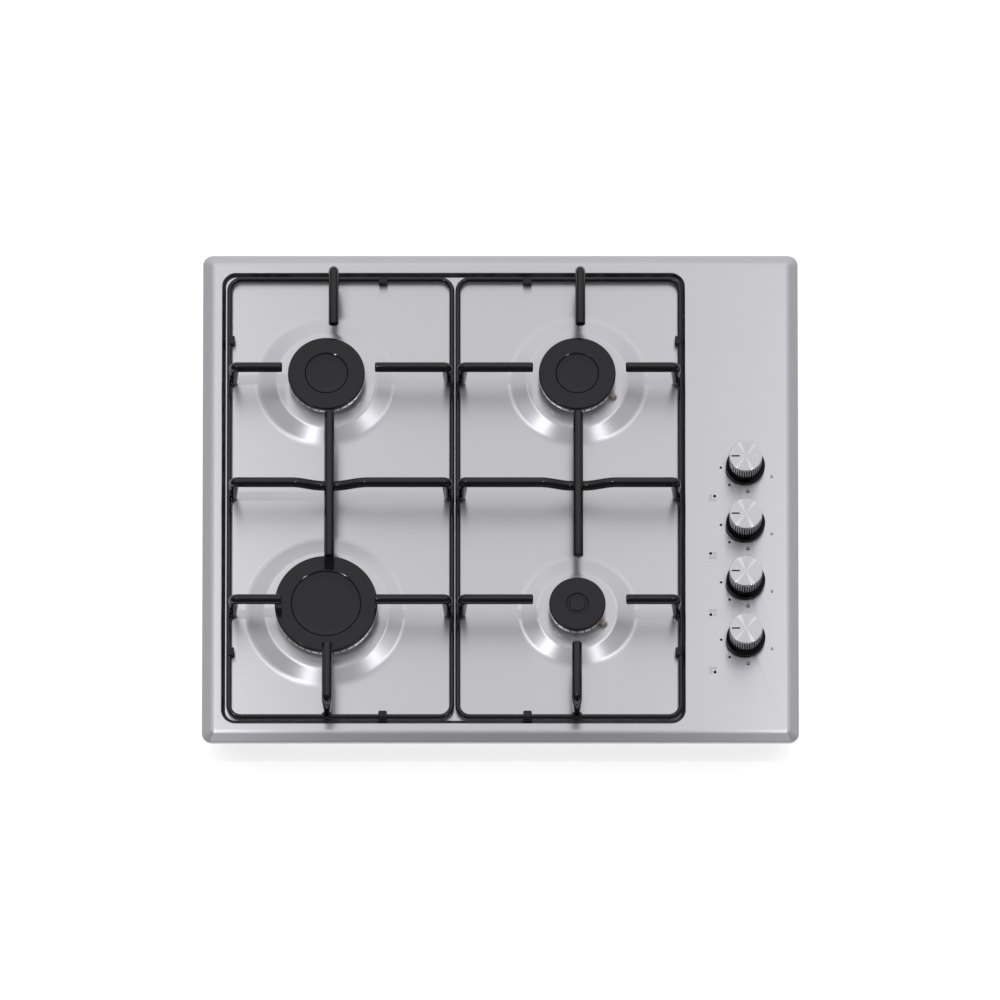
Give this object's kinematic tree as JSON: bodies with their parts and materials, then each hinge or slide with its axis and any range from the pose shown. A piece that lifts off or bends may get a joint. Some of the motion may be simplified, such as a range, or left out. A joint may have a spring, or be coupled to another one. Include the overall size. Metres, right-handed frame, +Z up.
{
  "type": "gas cooktop",
  "caption": "Built-in gas hob: pressed stainless steel plate, round burners of three sizes, bar pan supports, side knobs, taps, gas rail and bottom casing.",
  "frame": {"origin": "centre of the plate on the worktop's plane (underside of the rim)", "axes": "+X to the right as a user at the front sees it, +Y to the back, +Z up"},
  "size_m": [0.58, 0.51, 0.0959],
  "materials": {
    "stainless_plate": "brushed stainless steel, grain along the long side",
    "galvanised_casing": "zinc-coated sheet steel",
    "foam_seal": "closed-cell foam strip",
    "black_enamel": "glossy black vitreous enamel",
    "support_enamel": "glossy black enamel on round bar",
    "support_rubber": "black silicone rubber",
    "head_aluminium": "cast and turned aluminium",
    "cup_aluminium": "die-cast aluminium, as cast",
    "brass": "machined brass",
    "ceramic": "glazed white ceramic with a steel tip",
    "probe_steel": "heat-tinted stainless steel",
    "knob_silver": "spun satin metal with fluted side",
    "knob_black": "black moulded plastic",
    "spindle_steel": "turned steel",
    "tap_body": "hot-stamped and machined aluminium",
    "pipe_aluminium": "drawn aluminium tube",
    "rail_steel": "zinc-plated steel",
    "screw_steel": "zinc-plated steel",
    "black_plastic": "black moulded plastic",
    "white_plastic": "white moulded plastic"
  },
  "bodies": {
    "root": {"hob_plate": "stainless_plate", "bottom_casing": "galvanised_casing", "worktop_seal": "foam_seal", "burner_cup_rear_left": "cup_aluminium", "gas_tap_rear_left": "tap_body", "feed_pipe_rear_left": "pipe_aluminium", "burner_cup_rear_right": "cup_aluminium", "gas_tap_rear_right": "tap_body", "feed_pipe_rear_right": "pipe_aluminium", "burner_cup_front_left": "cup_aluminium", "gas_tap_front_left": "tap_body", "feed_pipe_front_left": "pipe_aluminium", "burner_cup_front_right": "cup_aluminium", "gas_tap_front_right": "tap_body", "feed_pipe_front_right": "pipe_aluminium", "spark_electrodes": "ceramic", "injectors": "brass", "burner_screws": "screw_steel", "flame_sensors": "probe_steel", "casing_posts": "screw_steel", "casing_screws": "screw_steel", "clamp_brackets": "screw_steel", "clamp_screws": "screw_steel", "gas_rail": "rail_steel", "rail_brackets": "rail_steel", "inlet_elbow": "brass", "spindle_seals": "support_rubber", "spark_generator": "black_plastic", "terminal_block": "white_plastic", "cord_gland": "black_plastic", "ignition_switches": "white_plastic"},
    "pan_support_left": {"pan_support_left": "support_enamel", "support_feet_left": "support_rubber"},
    "pan_support_right": {"pan_support_right": "support_enamel", "support_feet_right": "support_rubber"},
    "head_rear_left": {"burner_head_rear_left": "head_aluminium"},
    "cap_rear_left": {"burner_cap_rear_left": "black_enamel"},
    "plug_rear_left": {"tap_plug_rear_left": "brass"},
    "control_rear_left": {"tap_spindle_rear_left": "spindle_steel", "knob_skirt_rear_left": "knob_black", "knob_rear_left": "knob_silver"},
    "head_rear_right": {"burner_head_rear_right": "head_aluminium"},
    "cap_rear_right": {"burner_cap_rear_right": "black_enamel"},
    "plug_rear_right": {"tap_plug_rear_right": "brass"},
    "control_rear_right": {"tap_spindle_rear_right": "spindle_steel", "knob_skirt_rear_right": "knob_black", "knob_rear_right": "knob_silver"},
    "head_front_left": {"burner_head_front_left": "head_aluminium"},
    "cap_front_left": {"burner_cap_front_left": "black_enamel"},
    "plug_front_left": {"tap_plug_front_left": "brass"},
    "control_front_left": {"tap_spindle_front_left": "spindle_steel", "knob_skirt_front_left": "knob_black", "knob_front_left": "knob_silver"},
    "head_front_right": {"burner_head_front_right": "head_aluminium"},
    "cap_front_right": {"burner_cap_front_right": "black_enamel"},
    "plug_front_right": {"tap_plug_front_right": "brass"},
    "control_front_right": {"tap_spindle_front_right": "spindle_steel", "knob_skirt_front_right": "knob_black", "knob_front_right": "knob_silver"}
  },
  "joints": [
    {"name": "pan_support_left_lift", "type": "slide", "parent": "root", "child": "pan_support_left", "axis": [0, 0, 1], "range_m": [0, 0.12]},
    {"name": "pan_support_right_lift", "type": "slide", "parent": "root", "child": "pan_support_right", "axis": [0, 0, 1], "range_m": [0, 0.12]},
    {"name": "head_rear_left_lift", "type": "slide", "parent": "root", "child": "head_rear_left", "axis": [0, 0, 1], "range_m": [0, 0.06]},
    {"name": "cap_rear_left_lift", "type": "slide", "parent": "head_rear_left", "child": "cap_rear_left", "axis": [0, 0, 1], "range_m": [0, 0.06]},
    {"name": "head_rear_right_lift", "type": "slide", "parent": "root", "child": "head_rear_right", "axis": [0, 0, 1], "range_m": [0, 0.06]},
    {"name": "cap_rear_right_lift", "type": "slide", "parent": "head_rear_right", "child": "cap_rear_right", "axis": [0, 0, 1], "range_m": [0, 0.06]},
    {"name": "head_front_left_lift", "type": "slide", "parent": "root", "child": "head_front_left", "axis": [0, 0, 1], "range_m": [0, 0.006]},
    {"name": "cap_front_left_lift", "type": "slide", "parent": "head_front_left", "child": "cap_front_left", "axis": [0, 0, 1], "range_m": [0, 0.006]},
    {"name": "head_front_right_lift", "type": "slide", "parent": "root", "child": "head_front_right", "axis": [0, 0, 1], "range_m": [0, 0.06]},
    {"name": "cap_front_right_lift", "type": "slide", "parent": "head_front_right", "child": "cap_front_right", "axis": [0, 0, 1], "range_m": [0, 0.06]},
    {"name": "knob_rear_left_turn", "type": "hinge", "parent": "root", "child": "plug_rear_left", "pos_m": [0.2385, -0.0292, 0.007], "axis": [0, 0, 1], "range_deg": [0, 158]},
    {"name": "knob_rear_left_push", "type": "slide", "parent": "plug_rear_left", "child": "control_rear_left", "axis": [0, 0, -1], "range_m": [0, 0.0035], "stiffness_N_per_m": 900, "springref_m": -0.002},
    {"name": "knob_rear_right_turn", "type": "hinge", "parent": "root", "child": "plug_rear_right", "pos_m": [0.2385, 0.0308, 0.007], "axis": [0, 0, 1], "range_deg": [0, 158]},
    {"name": "knob_rear_right_push", "type": "slide", "parent": "plug_rear_right", "child": "control_rear_right", "axis": [0, 0, -1], "range_m": [0, 0.0035], "stiffness_N_per_m": 900, "springref_m": -0.002},
    {"name": "knob_front_left_turn", "type": "hinge", "parent": "root", "child": "plug_front_left", "pos_m": [0.2385, -0.0892, 0.007], "axis": [0, 0, 1], "range_deg": [0, 158]},
    {"name": "knob_front_left_push", "type": "slide", "parent": "plug_front_left", "child": "control_front_left", "axis": [0, 0, -1], "range_m": [0, 0.0035], "stiffness_N_per_m": 900, "springref_m": -0.002},
    {"name": "knob_front_right_turn", "type": "hinge", "parent": "root", "child": "plug_front_right", "pos_m": [0.2385, -0.1492, 0.007], "axis": [0, 0, 1], "range_deg": [0, 158]},
    {"name": "knob_front_right_push", "type": "slide", "parent": "plug_front_right", "child": "control_front_right", "axis": [0, 0, -1], "range_m": [0, 0.0035], "stiffness_N_per_m": 900, "springref_m": -0.002}
  ]
}
